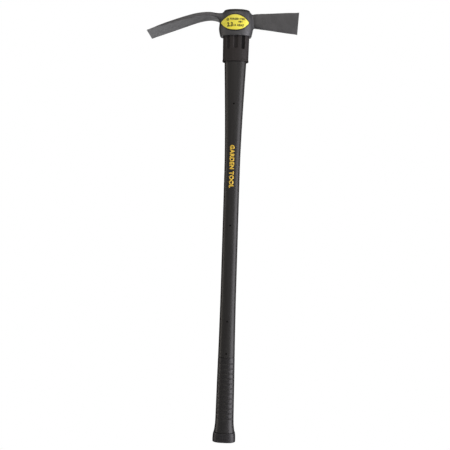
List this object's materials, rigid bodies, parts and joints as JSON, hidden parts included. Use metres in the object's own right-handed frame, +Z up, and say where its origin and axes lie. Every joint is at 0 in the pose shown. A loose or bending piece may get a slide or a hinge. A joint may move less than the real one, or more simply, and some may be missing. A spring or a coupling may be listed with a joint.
{
  "type": "garden mattock",
  "caption": "Long-handled digging tool: a forged head with an adze and a cutter blade, slipped over a plastic-jacketed fibreglass handle.",
  "frame": {"origin": "centre of the butt's flat end, on the handle's axis", "axes": "+Z up the handle to the head, +X towards the cutter blade, -X towards the adze, -Y is the side with the label"},
  "size_m": [0.3181, 0.076, 0.9144],
  "materials": {
    "coated_steel": "dark grey coating over a rough forged surface, satin",
    "label_vinyl": "printed yellow vinyl with a black border",
    "black_plastic": "moulded black plastic, satin",
    "jacket_plastic": "moulded black polypropylene, satin",
    "fibreglass": "pultruded fibreglass rod, hidden inside",
    "grip_rubber": "soft black grip with cross grooves",
    "cap_rubber": "smooth black cap"
  },
  "bodies": {
    "handle": {"handle_jacket": "jacket_plastic", "fibreglass_core": "fibreglass", "eye_collar": "black_plastic", "top_cap": "black_plastic", "grip_sleeve": "grip_rubber", "butt_cap": "cap_rubber"},
    "head": {"mattock_head": "coated_steel", "eye_label": "label_vinyl"}
  },
  "joints": [
    {"name": "head_slip", "type": "slide", "parent": "handle", "child": "head", "axis": [0, 0, -1], "range_m": [0, 0.93]}
  ]
}
